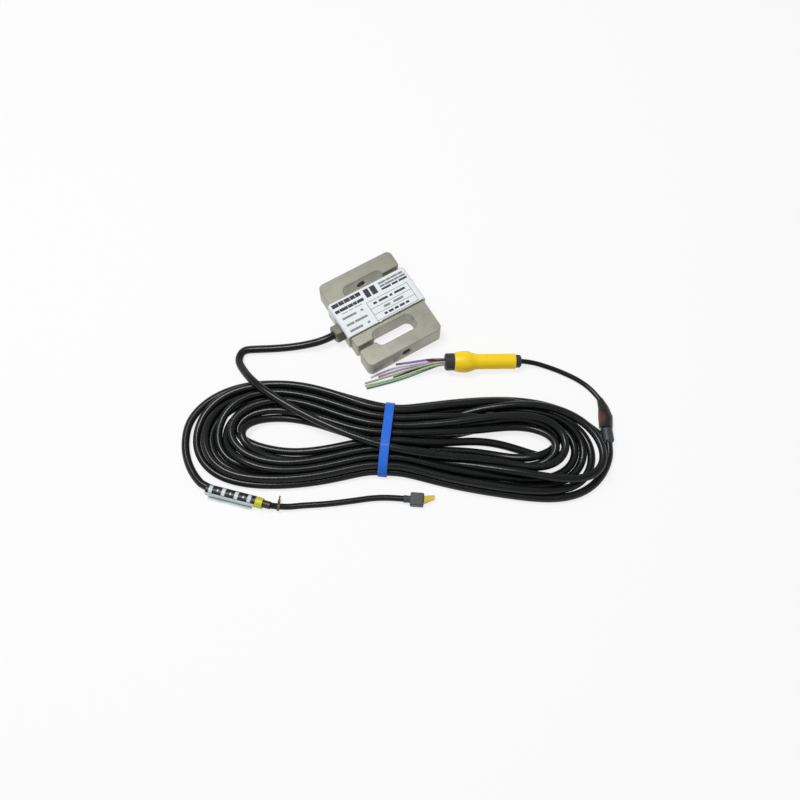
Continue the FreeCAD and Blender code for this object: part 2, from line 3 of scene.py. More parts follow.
import bmesh
import bpy
import numpy as np
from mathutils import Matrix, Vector


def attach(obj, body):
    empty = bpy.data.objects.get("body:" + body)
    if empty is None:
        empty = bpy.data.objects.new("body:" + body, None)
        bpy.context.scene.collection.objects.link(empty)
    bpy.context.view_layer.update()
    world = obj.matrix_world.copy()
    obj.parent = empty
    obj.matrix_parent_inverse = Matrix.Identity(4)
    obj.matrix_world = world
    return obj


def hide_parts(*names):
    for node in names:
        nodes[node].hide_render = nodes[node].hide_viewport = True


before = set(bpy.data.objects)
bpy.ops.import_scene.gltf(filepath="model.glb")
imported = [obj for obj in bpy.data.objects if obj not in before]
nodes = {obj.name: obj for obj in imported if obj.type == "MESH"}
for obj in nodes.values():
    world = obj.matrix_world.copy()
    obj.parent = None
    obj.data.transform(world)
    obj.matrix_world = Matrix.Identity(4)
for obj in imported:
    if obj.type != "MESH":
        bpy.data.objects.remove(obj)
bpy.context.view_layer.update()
mm = 0.001
print("frame loaded:", len(nodes), "nodes")


# camera
view = {
    "place": (-0.1401, -0.2584, 0.5434),
    "target": (-0.01795, -0.05417, 0.0),
    "lens": 45.0,
}


def addCamera():
    data = bpy.data.cameras.new("mainCamera")
    data.lens = view["lens"]
    data.sensor_width = 36.0
    camera = bpy.data.objects.new("mainCamera", data)
    bpy.context.collection.objects.link(camera)
    camera.location = view["place"]
    way = Vector(view["target"]) - Vector(view["place"])
    camera.rotation_euler = way.to_track_quat("-Z", "Y").to_euler()
    bpy.context.scene.camera = camera


addCamera()


# where the hank lies
hank = {
    "tieX": -39.5, "tieY": -74.5, "turn": math.radians(-30.9),   # millimetres, as the routes below
    "cable": 4.7,                   # diameter of the main cable
    "strapThick": 0.8,
    "strapWidth": 5.3,
    "strapSkew": math.radians(-6.0),
    "bundleMiddle": 2.3,            # the bundle's middle behind the tie's
    "bundlePitch": 5.0,             # spacing of the strands at the tie
    "lowerRow": 9,                  # strands side by side at the tie
    "step": 9.0,                    # spacing of the points along a turn
}


def lay(u, v, z=0.0):               # a point along and across the hank, into the part's frame, in metres
    c, s = math.cos(hank["turn"]), math.sin(hank["turn"])
    return Vector((hank["tieX"] + u * c - v * s, hank["tieY"] + u * s + v * c, z)) * mm


# routes that are not coiled, as in the part's source
leadStart = [(-32.0, 0.5, 6.35), (-38.0, 0.5, 6.35)]           # in the part's own frame
leadRoute = [(-46.0, 63.5, 4.2), (-57.0, 62.1, 2.8), (-68.0, 61.3, 2.35), (-79.0, 60.9, 2.35),
             (-87.0, 60.3, 2.35), (-89.3, 53.0, 2.9), (-84.8, 44.6, 6.4), (-78.9, 36.6, 10.4),
             (-72.8, 30.5, 11.3)]
leadOver = [(-61.2, 22.5, 11.3), (-48.0, 14.9, 11.3), (-34.3, 8.1, 11.5), (-19.7, 1.3, 11.7),
            (-8.0, -3.0, 11.8)]
leadOn = [(10.0, -6.2, 10.8), (20.0, -8.2, 10.0), (37.7, -11.6, 8.6), (56.1, -14.6, 7.6),
          (74.4, -16.0, 7.2), (88.0, -15.6, 7.2), (98.5, -12.0, 7.6), (104.4, -4.5, 8.2),
          (104.8, 3.0, 9.0), (100.5, 8.8, 10.0), (91.0, 12.4, 11.0), (75.0, 13.4, 11.4),
          (52.0, 12.4, 10.8), (28.0, 10.5, 9.6)]
returnHidden = [(125.2, 3.2, 4.2), (119.4, 8.8, 2.6), (109.0, 15.2, 2.4), (95.0, 20.0, 2.35),
                (78.0, 22.2, 2.35), (60.0, 22.8, 2.35), (42.0, 22.4, 2.4), (24.0, 22.0, 2.8),
                (9.0, 21.3, 3.15), (0.0, 22.3, 3.15), (-9.0, 24.2, 3.15), (-22.0, 27.8, 2.7),
                (-38.0, 32.6, 2.35), (-54.0, 36.2, 2.35), (-70.0, 37.6, 2.35), (-84.0, 35.8, 2.35),
                (-95.5, 31.0, 2.35), (-105.0, 24.8, 2.35), (-111.6, 18.2, 2.35)]
returnRoute = [(-115.4, 12.0, 2.35), (-116.5, 4.2, 2.35), (-116.0, -4.4, 2.35), (-113.6, -12.6, 2.35),
               (-109.0, -20.8, 2.6)]
markerStart = (-101.6, -28.3, 3.3)
markerEnd = (-65.0, -37.9, 3.3)
leadEnd = (-68.9, -36.9, 3.3)         # the jacket's end piece starts here
tailRoute = [(-65.0, -37.9, 3.3), (-57.5, -38.6, 2.1), (-47.0, -37.4, 1.8), (-33.5, -36.6, 1.8),
             (-19.5, -34.8, 1.8), (-6.5, -32.8, 1.8), (4.5, -32.9, 2.1), (10.2, -33.6, 2.4)]
toBoot = [(24, -22.4, 2.6), (43, -26.6, 2.4), (64, -29.6, 2.4), (84, -32.4, 2.4), (102, -32.6, 2.4),
          (117, -29.0, 2.4), (125.6, -21.0, 2.4), (128.8, -11.0, 2.9)]
intoBoot = (128.9, -5.5, 3.4)
bootStart = (128.6, -0.4, 3.6)
pigtailRoute = [(126.2, 28.0, 1.9), (121.9, 34.8, 1.5), (113.8, 41.4, 1.5), (103.4, 46.8, 1.5),
                (93.6, 50.3, 2.2), (86.6, 51.7, 3.6), (80.4, 51.9, 4.6)]


# the hank's turns
coil = {
    "grip": 0.40,                   # how firmly a turn keeps to its place
    # half loops as they lie seen from above, from the tie's back to its front on the left,
    # and from its front to its back on the right
    "leftOuter": [(-24, 27.8), (-43, 33.6), (-60, 36.4), (-78, 35.6), (-93, 28.5), (-105, 17.5),
                  (-110.5, 5.0), (-108.5, -9.0), (-100.5, -18.5), (-86, -23.0), (-66, -25.0),
                  (-46, -24.2), (-24, -20.8)],
    "leftInner": [(-24, 5.5), (-37, 11.3), (-48, 15.2), (-60, 17.4), (-73, 18.4), (-83, 15.6),
                  (-87.4, 8.2), (-84.0, 0.8), (-74, -3.0), (-63, -4.2), (-50, -6.8), (-38, -6.4),
                  (-24, -3.8)],
    "rightOuter": [(24, -23.2), (43, -27.7), (64, -30.2), (84, -32.4), (102, -32.2), (117, -28.6),
                   (126.2, -18.5), (125.5, -5.0), (117, 7.0), (104, 16.5), (88, 21.0), (60, 22.2),
                   (24, 22.0)],
    "rightInner": [(24, -2.2), (40, -2.8), (57, -3.8), (73, -8.6), (87, -10.8), (97.0, -8.2),
                   (101.4, 0.4), (97.8, 8.6), (88, 12.8), (76, 14.0), (60, 12.4), (44, 5.8),
                   (24, 3.0)],
    # for each turn its place in the bundle, 0 outermost and 7 innermost: front run, back run
    "frontPlaces": [None, 5, 7, 6, 3, 4, 2, 1, 0],
    "backPlaces": [4, 6, 7, 5, 2, 3, 1, 0],
    # by place, how far out a run lies between the inner and the outer line, and its layer
    "leftBack": [(0.98, 1), (0.86, 0), (0.71, 1), (0.58, 0), (0.44, 1), (0.30, 0), (0.16, 1), (0.02, 0)],
    "leftFront": [(1.00, 0), (0.87, 1), (0.75, 0), (0.62, 1), (0.50, 0), (0.37, 1), (0.24, 0), (0.03, 0)],
    "rightFront": [(1.00, 0), (0.88, 1), (0.74, 0), (0.58, 0), (0.42, 2), (0.20, 0), (0.02, 0), (-0.30, 0)],
    "rightBack": [(0.92, 0), (0.78, 1), (0.66, 0), (1.00, 2), (0.42, 0), (0.22, 1), (0.00, 0), (0.18, 0)],
    # and for each turn the same at the far end of its bend
    "leftEnd": [(0.32, 1), (0.19, 0), (0.00, 0), (0.41, 0), (0.60, 0), (0.79, 0), (0.88, 1), (0.98, 0)],
    "rightEnd": [None, (0.04, 1), (0.32, 0), (0.12, 0), (0.47, 0), (0.97, 2), (0.62, 0), (0.78, 0), None],
}


def bundleSlots():                  # strand centres at the tie, from the outermost in
    pitch = hank["bundlePitch"]
    low = hank["strapThick"] + hank["cable"] / 2
    high = low + pitch * math.sin(math.radians(60))
    half = (hank["lowerRow"] - 1) / 2
    lower = [(hank["bundleMiddle"] + (i - half) * pitch, low) for i in range(hank["lowerRow"])]
    upper = [(hank["bundleMiddle"] + (i + 0.5 - half) * pitch, high) for i in range(hank["lowerRow"] - 1)]
    front = []
    for i in range(4):
        front += [lower[i], upper[i]]
    back = []
    for i in range(4):
        back += [upper[-1 - i], lower[-2 - i]]
    crest = (upper[2][0], high + pitch * math.sin(math.radians(60)))     # the lead
    return front, back, lower, upper, crest


frontSlots, backSlots, lowerRow, upperRow, crestSlot = bundleSlots()


def layerHeight(layer):             # centre of a strand that lies in this layer, 0 on the floor
    radius = hank["cable"] / 2
    return radius + layer * hank["cable"] * math.sin(math.radians(60))


def halfLoop(inner, outer, shares, heights):    # shares and heights at five places, from tie to tie
    inner, outer = np.array(inner, float), np.array(outer, float)
    places = np.linspace(0, len(inner) - 1, 5)
    points = []
    for i in range(len(inner)):
        share = np.interp(i, places, shares)
        plan = inner[i] + (outer[i] - inner[i]) * share
        points.append((plan[0], plan[1], np.interp(i, places, heights)))
    return points


def throughPoints(points, pinned, step):    # the same line, evenly divided by a smooth cubic
    line, marks = [], []
    last = len(points) - 1
    for i in range(last):
        a, b = points[max(i - 1, 0)], points[i]
        c, d = points[i + 1], points[min(i + 2, last)]
        count = max(1, round(float(np.linalg.norm(c - b)) / step))
        for k in range(count):
            t = k / count
            line.append(0.5 * (2 * b + (c - a) * t + (2 * a - 5 * b + 4 * c - d) * t ** 2
                               + (3 * b - a - 3 * c + d) * t ** 3))
            marks.append(pinned[i] if k == 0 else min(pinned[i], pinned[i + 1]))
    line.append(points[-1])
    marks.append(pinned[-1])
    return np.array(line), np.array(marks)


def tiePoints(slot, slope, way):    # three points through the tie, along the run
    v, z = slot
    return [(way * u, v + way * u * slope, z) for u in (-8.0, 0.0, 8.0)]


def windTurns():                    # the whole coiled part, and how firmly each point holds
    points, hold = [], []

    def add(new, grip):
        points.extend(new)
        hold.extend([grip] * len(new))

    add([(0.0, crestSlot[0], crestSlot[1])], 1.0)
    add(leadOn, 0.3)
    turns = len(coil["backPlaces"])
    for k in range(turns):
        backPlace = coil["backPlaces"][k]
        backSlot = backSlots[backPlace]
        if k > 0:
            frontPlace = coil["frontPlaces"][k]
            legs = [coil["rightFront"][frontPlace], coil["rightEnd"][k], coil["rightBack"][backPlace]]
            shares = [1 - frontPlace / 7] + [leg[0] for leg in legs] + [1 - backPlace / 7]
            heights = [frontSlots[frontPlace][1]] + [layerHeight(leg[1]) for leg in legs] + [backSlot[1]]
            add(halfLoop(coil["rightInner"], coil["rightOuter"], shares, heights), coil["grip"])
        add(tiePoints(backSlot, -0.15 + 0.013 * backPlace, -1), 1.0)
        nextPlace = coil["frontPlaces"][k + 1]
        nextSlot = frontSlots[nextPlace]
        legs = [coil["leftBack"][backPlace], coil["leftEnd"][k], coil["leftFront"][nextPlace]]
        shares = [1 - backPlace / 7] + [leg[0] for leg in legs] + [1 - nextPlace / 7]
        heights = [backSlot[1]] + [layerHeight(leg[1]) for leg in legs] + [nextSlot[1]]
        add(halfLoop(coil["leftInner"], coil["leftOuter"], shares, heights), coil["grip"])
        add(tiePoints(nextSlot, -0.05 + 0.007 * nextPlace, 1), 1.0)
    add(toBoot, 0.3)
    add([intoBoot, bootStart], 1.0)
    return np.array(points, float), np.array(hold)


def splineBasis(count, perSpan):    # weights of a clamped quadratic spline, `perSpan` samples to a span
    spans = count - 2
    index, weight = [], []
    for k in range(spans * perSpan + 1):
        t = k / perSpan
        s = min(int(t), spans - 1)
        f = t - s
        first = (1 - f) ** 2 * (1.0 if s == 0 else 0.5)
        final = f ** 2 * (1.0 if s == spans - 1 else 0.5)
        index.append((s, s + 1, s + 2))
        weight.append((first, 1 - first - final, final))
    return np.array(index), np.array(weight)


def nearPairs(samples, strand, reach, skip):    # pairs of samples that may touch, found on a grid
    cell = 8.0
    cells = {}
    keys = np.floor(samples[:, :2] / cell).astype(int)
    for i, (a, b) in enumerate(keys.tolist()):
        cells.setdefault((a, b), []).append(i)
    left, right = [], []
    for (a, b), members in cells.items():
        around = []
        for da in (-1, 0, 1):
            for db in (-1, 0, 1):
                around += cells.get((a + da, b + db), [])
        around = np.array(around)
        for i in members:
            others = around[(around > i) & ((around > i + skip) | (strand[around] != strand[i]))]
            left.append(np.full(len(others), i))
            right.append(others)
    left, right = np.concatenate(left), np.concatenate(right)
    close = np.linalg.norm(samples[left] - samples[right], axis=1) < reach
    return left[close], right[close]


relax = {
    "rounds": 420,
    "late": 0.8, "lateShare": 0.3,  # pulls ease off after this share of the rounds
    "perSpan": 4, "slack": 0.05,    # samples to a span, and air left between strands
    "pairEvery": 8, "pairReach": 3.5, "pairSkip": 3,
    "keep": 0.012, "keepHeld": 0.15,    # pull back to the guide line, free and held
    "sink": 0.06,                   # weight
    "step": 1.3, "fair": 0.35, "crowd": 0.6,
}


def settle(strands, holds):         # pushes crossing strands apart until they rest on each other
    perSpan, rounds = relax["perSpan"], relax["rounds"]
    apart = hank["cable"] + relax["slack"]
    floorLevel = hank["cable"] / 2
    counts = [len(s) for s in strands]
    points = np.concatenate(strands)
    hold = np.concatenate(holds)
    home = points.copy()
    index, weight, strand = [], [], []
    base = 0
    for number, count in enumerate(counts):
        i, w = splineBasis(count, perSpan)
        index.append(i + base)
        weight.append(w)
        strand += [number] * len(i)
        base += count
    index, weight, strand = np.concatenate(index), np.concatenate(weight), np.array(strand)
    starts = np.cumsum([0] + counts)
    for turn in range(rounds):
        samples = (points[index] * weight[:, :, None]).sum(1)
        if turn % relax["pairEvery"] == 0:
            left, right = nearPairs(samples, strand, apart + relax["pairReach"],
                                    relax["pairSkip"] * perSpan)
        gap = samples[left] - samples[right]
        distance = np.linalg.norm(gap, axis=1)
        touch = distance < apart
        a, b = left[touch], right[touch]
        way = gap[touch] / np.maximum(distance[touch], 1e-6)[:, None]
        push = way * ((apart - distance[touch]) / 2)[:, None]
        shift = np.zeros_like(samples)
        hits = np.zeros(len(samples))
        np.add.at(shift, a, push)
        np.add.at(shift, b, -push)
        np.add.at(hits, a, 1)
        np.add.at(hits, b, 1)
        shift /= (np.maximum(hits, 1) ** relax["crowd"])[:, None]
        sunk = np.maximum(floorLevel - samples[:, 2], 0)
        shift[:, 2] += sunk
        moved = np.zeros_like(points)
        share = np.zeros(len(points))
        active = (hits > 0) | (sunk > 0)
        for k in range(3):
            np.add.at(moved, index[:, k], shift * weight[:, k:k + 1])
            np.add.at(share, index[:, k], weight[:, k] * active)
        moved /= np.maximum(share, 0.6)[:, None]
        fade = 1.0 if turn < rounds * relax["late"] else relax["lateShare"]
        pull = (home - points) * (relax["keep"] + hold * relax["keepHeld"])[:, None] * fade
        pull[:, 2] = np.where(hold > 0.2, pull[:, 2], 0)
        pull[:, 2] -= relax["sink"] * fade
        fair = np.zeros_like(points)
        for first, last in zip(starts[:-1], starts[1:]):
            p = points[first:last]
            fair[first + 2:last - 2] = (-p[:-4] + 4 * p[1:-3] + 4 * p[3:-1] - p[4:]) / 6 - p[2:-2]
        free = (hold < 0.99)[:, None]
        points = points + (relax["step"] * moved + pull + relax["fair"] * fair) * free
        lifted = np.maximum(points[:, 2], floorLevel * 0.96)
        points[:, 2] = np.where(hold < 0.99, lifted, points[:, 2])
    samples = (points[index] * weight[:, :, None]).sum(1)
    distance = np.linalg.norm(samples[left] - samples[right], axis=1)
    print("hank: closest strands %.2f, samples closer than 4.6: %d, top %.1f, low %.2f"
          % (distance.min(), int((distance < 4.6).sum()), samples[:, 2].max(), samples[:, 2].min()))
    return [points[first:last] for first, last in zip(starts[:-1], starts[1:])]


def toHank(point):                  # from the part's frame, in millimetres, into hank coordinates
    x, y = point[0] - hank["tieX"], point[1] - hank["tieY"]
    c, s = math.cos(hank["turn"]), math.sin(hank["turn"])
    return (x * c + y * s, -x * s + y * c, point[2])


def mainRoute():
    firm = [toHank(p) for p in leadStart] + leadRoute
    points = [np.array(p, float) for p in firm + leadOver]
    hold = [1.0] * len(firm) + [0.4] * len(leadOver)
    hold[len(firm) - 1] = 0.5
    turnPoints, turnHold = windTurns()
    turnLine, turnMarks = throughPoints(turnPoints, turnHold, hank["step"])
    return np.concatenate([np.array(points), turnLine]), np.concatenate([hold, turnMarks])


def returnLine():
    points = np.array(returnHidden + returnRoute + [markerStart], float)
    hold = [0.3] * len(returnHidden) + [1.0] * (len(returnRoute) + 1)
    hold[0] = 1.0
    for i, p in enumerate(returnHidden):
        if abs(p[0]) < 10:
            hold[i] = 1.0
    return points, np.array(hold)


mainPoints, mainHold = mainRoute()
returnPoints, returnHold = returnLine()
mainPoints, returnPoints = settle([mainPoints, returnPoints], [mainHold, returnHold])


def cordCurve(name, points, diameter, rings=5, across=5):
    data = bpy.data.curves.new(name, "CURVE")
    data.dimensions = "3D"
    data.resolution_u = rings
    data.bevel_depth = diameter / 2
    data.bevel_resolution = across
    data.use_fill_caps = True
    spline = data.splines.new("NURBS")
    spline.points.add(len(points) - 1)
    for place, point in zip(spline.points, points):
        place.co = (point[0], point[1], point[2], 1.0)
    spline.order_u = 3
    spline.use_endpoint_u = True
    piece = bpy.data.objects.new(name, data)
    bpy.context.collection.objects.link(piece)
    return piece


def routeLength(points):            # length of the smooth line that the points control
    index, weight = splineBasis(len(points), 6)
    line = (np.array([list(p) for p in points])[index] * weight[:, :, None]).sum(1)
    return float(np.linalg.norm(np.diff(line, axis=0), axis=1).sum())


def layAll(points):
    return [lay(*p) for p in points]


# effects that several finishes share
def startGroup(name, inputs, outputs):
    tree = bpy.data.node_groups.new(name, "ShaderNodeTree")
    for label, value in inputs.items():
        socket = tree.interface.new_socket(name=label, in_out="INPUT", socket_type="NodeSocketFloat")
        socket.default_value = value
    for label in outputs:
        tree.interface.new_socket(name=label, in_out="OUTPUT", socket_type="NodeSocketFloat")
    return tree, tree.nodes.new("NodeGroupInput"), tree.nodes.new("NodeGroupOutput")


def rangeNode(tree, source, low, high, start=0.0, end=1.0):
    node = tree.nodes.new("ShaderNodeMapRange")
    for label, value in (("From Min", low), ("From Max", high), ("To Min", start), ("To Max", end)):
        node.inputs[label].default_value = value
    tree.links.new(source, node.inputs["Value"])
    return node.outputs["Result"]


def noiseNode(tree, vector, scale, detail):
    node = tree.nodes.new("ShaderNodeTexNoise")
    node.inputs["Detail"].default_value = detail
    node.inputs["Roughness"].default_value = 0.6
    tree.links.new(vector, node.inputs["Vector"])
    if isinstance(scale, (int, float)):
        node.inputs["Scale"].default_value = scale
    else:
        tree.links.new(scale, node.inputs["Scale"])
    return node.outputs["Fac"]


def makeGrain():                    # fine even grain, scale in grains a metre
    tree, given, result = startGroup("fineGrain", {"Scale": 2000.0, "Fine Scale": 6000.0},
                                     ("Value", "Height"))
    place = tree.nodes.new("ShaderNodeTexCoord").outputs["Object"]
    coarse = noiseNode(tree, place, given.outputs["Scale"], 4)
    fine = noiseNode(tree, place, given.outputs["Fine Scale"], 2)
    tree.links.new(rangeNode(tree, coarse, 0.3, 0.7), result.inputs["Value"])
    tree.links.new(fine, result.inputs["Height"])
    return tree


def makeWearAndSheen():                 # soft blotches where hands and dust have been; on the strap, in a lighter blue, they are painted sheen
    tree, given, result = startGroup("wearAndSheenMarks", {"Scale": 60.0, "Cover": 0.5}, ("Mask",))
    place = tree.nodes.new("ShaderNodeTexCoord").outputs["Object"]
    blotch = noiseNode(tree, place, given.outputs["Scale"], 5)
    node = tree.nodes.new("ShaderNodeMapRange")
    node.interpolation_type = "SMOOTHSTEP"
    edge = tree.nodes.new("ShaderNodeMath")
    edge.operation = "SUBTRACT"
    edge.inputs[0].default_value = 1.0
    tree.links.new(given.outputs["Cover"], edge.inputs[1])
    tree.links.new(edge.outputs[0], node.inputs["From Min"])
    node.inputs["From Max"].default_value = 0.85
    tree.links.new(blotch, node.inputs["Value"])
    tree.links.new(node.outputs["Result"], result.inputs["Mask"])
    return tree


def makeToolMarks():                # long fine lines along X, as a cutter or a brush leaves
    tree, given, result = startGroup("toolMarks", {"Scale": 1500.0, "Stretch": 30.0}, ("Value",))
    place = tree.nodes.new("ShaderNodeTexCoord").outputs["Object"]
    split = tree.nodes.new("ShaderNodeSeparateXYZ")
    tree.links.new(place, split.inputs[0])
    shorten = tree.nodes.new("ShaderNodeMath")
    shorten.operation = "DIVIDE"
    tree.links.new(split.outputs["X"], shorten.inputs[0])
    tree.links.new(given.outputs["Stretch"], shorten.inputs[1])
    join = tree.nodes.new("ShaderNodeCombineXYZ")
    tree.links.new(shorten.outputs[0], join.inputs["X"])
    tree.links.new(split.outputs["Y"], join.inputs["Y"])
    tree.links.new(split.outputs["Z"], join.inputs["Z"])
    lines = noiseNode(tree, join.outputs[0], given.outputs["Scale"], 3)
    tree.links.new(rangeNode(tree, lines, 0.35, 0.65), result.inputs["Value"])
    return tree


effects = {"grain": makeGrain(), "wearAndSheen": makeWearAndSheen(), "toolMarks": makeToolMarks()}


# finishes
# color, other color in the marks (deeper, but on the strap a lighter blue that is painted sheen), roughness
# and its spread, metallic, grain and mark scales, bump in mm
finishes = {
    "nickelPlate": {"color": (0.385, 0.382, 0.325), "deep": (0.29, 0.288, 0.24), "rough": 0.42,
                    "spread": 0.09, "metal": 0.82, "grain": 2600, "marks": 90, "cover": 0.62,
                    "bump": 0.006, "lines": 0.5},
    "coverSteel": {"color": (0.40, 0.40, 0.35), "deep": (0.30, 0.30, 0.26), "rough": 0.38,
                   "spread": 0.08, "metal": 0.85, "grain": 2400, "marks": 110, "cover": 0.6,
                   "bump": 0.005, "lines": 0.8},
    "glandMetal": {"color": (0.20, 0.20, 0.165), "deep": (0.12, 0.12, 0.10), "rough": 0.40,
                   "spread": 0.10, "metal": 0.85, "grain": 3000, "marks": 200, "cover": 0.62,
                   "bump": 0.010, "lines": 0.3},
    "labelFilm": {"color": (0.80, 0.845, 0.86), "deep": (0.72, 0.77, 0.79), "rough": 0.48,
                  "spread": 0.05, "grain": 1800, "marks": 70, "cover": 0.55, "bump": 0.004},
    "labelInk": {"color": (0.022, 0.022, 0.026), "deep": (0.07, 0.07, 0.075), "rough": 0.55,
                 "spread": 0.08, "grain": 2600, "marks": 500, "cover": 0.6, "bump": 0.002},
    "labelGrey": {"color": (0.20, 0.21, 0.22), "deep": (0.33, 0.34, 0.35), "rough": 0.55, "spread": 0.08,
                  "grain": 2600, "marks": 500, "cover": 0.6, "bump": 0.002},
    "cableJacket": {"color": (0.0045, 0.005, 0.0055), "deep": (0.009, 0.010, 0.0105), "rough": 0.25,
                    "spread": 0.05, "grain": 900, "marks": 120, "cover": 0.6, "bump": 0.004, "gloss": 0.32},
    # the strap's lighter blue in its blotches is painted sheen, standing in for streaks of light on the
    # band
    "strapBlue": {"color": (0.010, 0.135, 0.68), "deep": (0.022, 0.24, 0.80), "rough": 0.42,
                  "spread": 0.08, "grain": 1800, "marks": 150, "cover": 0.55, "bump": 0.012},
    "bootSlate": {"color": (0.030, 0.043, 0.050), "deep": (0.020, 0.029, 0.034), "rough": 0.46,
                  "spread": 0.08, "grain": 1600, "marks": 160, "cover": 0.6, "bump": 0.015},
    "breakoutYellow": {"color": (1.0, 0.70, 0.004), "deep": (0.93, 0.60, 0.003), "rough": 0.40,
                       "spread": 0.08, "grain": 1200, "marks": 80, "cover": 0.5, "bump": 0.012},
    "collarBlack": {"color": (0.022, 0.026, 0.030), "deep": (0.035, 0.04, 0.044), "rough": 0.5,
                    "spread": 0.08, "grain": 1700, "marks": 200, "cover": 0.6, "bump": 0.015},
    "markerBlack": {"color": (0.008, 0.008, 0.012), "deep": (0.02, 0.02, 0.026), "rough": 0.42,
                    "spread": 0.08, "grain": 1700, "marks": 180, "cover": 0.6, "bump": 0.010},
    "flapPale": {"color": (0.62, 0.70, 0.70), "deep": (0.48, 0.56, 0.57), "rough": 0.45, "spread": 0.06,
                 "grain": 1600, "marks": 140, "cover": 0.6, "bump": 0.008},
    "tapeYellow": {"color": (0.58, 0.60, 0.012), "deep": (0.40, 0.43, 0.008), "rough": 0.40,
                   "spread": 0.08, "grain": 1500, "marks": 200, "cover": 0.6, "bump": 0.012},
    "jacketRed": {"color": (0.022, 0.010, 0.009), "deep": (0.06, 0.018, 0.014), "rough": 0.42,
                  "spread": 0.08, "grain": 1500, "marks": 260, "cover": 0.65, "bump": 0.012},
    "tieBrown": {"color": (0.105, 0.080, 0.036), "deep": (0.06, 0.043, 0.02), "rough": 0.45,
                 "spread": 0.08, "grain": 1800, "marks": 300, "cover": 0.6, "bump": 0.010},
    "connectorSlate": {"color": (0.052, 0.063, 0.072), "deep": (0.034, 0.042, 0.048), "rough": 0.48,
                       "spread": 0.08, "grain": 1500, "marks": 160, "cover": 0.62, "bump": 0.014},
    "tipYellow": {"color": (0.68, 0.52, 0.018), "deep": (0.45, 0.33, 0.012), "rough": 0.42,
                  "spread": 0.08, "grain": 1500, "marks": 260, "cover": 0.62, "bump": 0.010},
    "sealRubber": {"color": (0.012, 0.012, 0.012), "deep": (0.02, 0.02, 0.02), "rough": 0.6,
                   "spread": 0.06, "grain": 1500, "marks": 200, "cover": 0.6, "bump": 0.01},
    "boardGreen": {"color": (0.02, 0.11, 0.04), "deep": (0.015, 0.08, 0.03), "rough": 0.35,
                   "spread": 0.06, "grain": 1500, "marks": 300, "cover": 0.6, "bump": 0.004},
    "resistorBody": {"color": (0.06, 0.07, 0.12), "deep": (0.04, 0.05, 0.08), "rough": 0.35,
                     "spread": 0.06, "grain": 2500, "marks": 400, "cover": 0.6, "bump": 0.003},
    "bridgeRed": {"color": (0.42, 0.03, 0.025), "deep": (0.30, 0.02, 0.018), "rough": 0.35,
                  "spread": 0.06, "grain": 2500, "marks": 400, "cover": 0.6, "bump": 0.003},
    "gaugeAmber": {"color": (0.45, 0.18, 0.03), "deep": (0.30, 0.11, 0.02), "rough": 0.35,
                   "spread": 0.06, "grain": 2500, "marks": 500, "cover": 0.6, "bump": 0.003},
}
wireColors = {
    "brown": ((0.095, 0.022, 0.020), (0.05, 0.014, 0.013)),
    "violet": ((0.27, 0.17, 0.42), (0.20, 0.12, 0.34)),
    "lilac": ((0.66, 0.57, 0.74), (0.50, 0.42, 0.60)),
    "grey": ((0.33, 0.33, 0.35), (0.24, 0.24, 0.26)),
    "beige": ((0.44, 0.42, 0.34), (0.33, 0.31, 0.24)),
    "black": ((0.016, 0.026, 0.016), (0.03, 0.045, 0.03)),
    "light_green": ((0.38, 0.52, 0.31), (0.27, 0.40, 0.22)),
    "green": ((0.085, 0.21, 0.105), (0.055, 0.145, 0.07)),
}
for wireName, (wireColor, wireDeep) in wireColors.items():
    finishes["wire_" + wireName] = {"color": wireColor, "deep": wireDeep, "rough": 0.34, "spread": 0.06,
                                    "grain": 2500, "marks": 320, "cover": 0.62, "bump": 0.006}


def mixColors(tree, mask, first, second):
    node = tree.nodes.new("ShaderNodeMix")
    node.data_type = "RGBA"
    tree.links.new(mask, node.inputs["Factor"])
    for socket, value in ((node.inputs["A"], first), (node.inputs["B"], second)):
        if isinstance(value, tuple):
            socket.default_value = (*value, 1)
        else:
            tree.links.new(value, socket)
    return node.outputs["Result"]


def effectNode(tree, name, **values):
    node = tree.nodes.new("ShaderNodeGroup")
    node.node_tree = effects[name]
    for label, value in values.items():
        node.inputs[label].default_value = value
    return node.outputs


def buildFinish(name, look):
    material = bpy.data.materials.new(name)
    material.use_nodes = True
    material.diffuse_color = (*look["color"], 1)
    tree = material.node_tree
    shader = tree.nodes["Principled BSDF"]
    grain = effectNode(tree, "grain", **{"Scale": look["grain"], "Fine Scale": look["grain"] * 3.0})
    # blotches of the second colour: wear, and on the strap painted sheen
    marks = effectNode(tree, "wearAndSheen", **{"Scale": look["marks"], "Cover": look["cover"]})
    tint = mixColors(tree, marks["Mask"], look["color"], look["deep"])
    rough = grain["Value"]
    height = grain["Height"]
    if look.get("lines"):
        lines = effectNode(tree, "toolMarks", **{"Scale": look["grain"] * 1.5, "Stretch": 40.0})
        blend = tree.nodes.new("ShaderNodeMix")
        blend.inputs["Factor"].default_value = look["lines"]
        tree.links.new(grain["Value"], blend.inputs["A"])
        tree.links.new(lines["Value"], blend.inputs["B"])
        rough = height = blend.outputs["Result"]
    tree.links.new(tint, shader.inputs["Base Color"])
    low, high = look["rough"] - look["spread"], look["rough"] + look["spread"]
    tree.links.new(rangeNode(tree, rough, 0.0, 1.0, low, high), shader.inputs["Roughness"])
    shader.inputs["Metallic"].default_value = look.get("metal", 0.0)
    shader.inputs["Specular IOR Level"].default_value = look.get("gloss", 0.5)
    bump = tree.nodes.new("ShaderNodeBump")
    bump.inputs["Strength"].default_value = 0.6
    bump.inputs["Distance"].default_value = look["bump"] * mm
    tree.links.new(height, bump.inputs["Height"])
    tree.links.new(bump.outputs["Normal"], shader.inputs["Normal"])
    return material


materials = {name: buildFinish(name, look) for name, look in finishes.items()}
print("finishes:", len(materials))


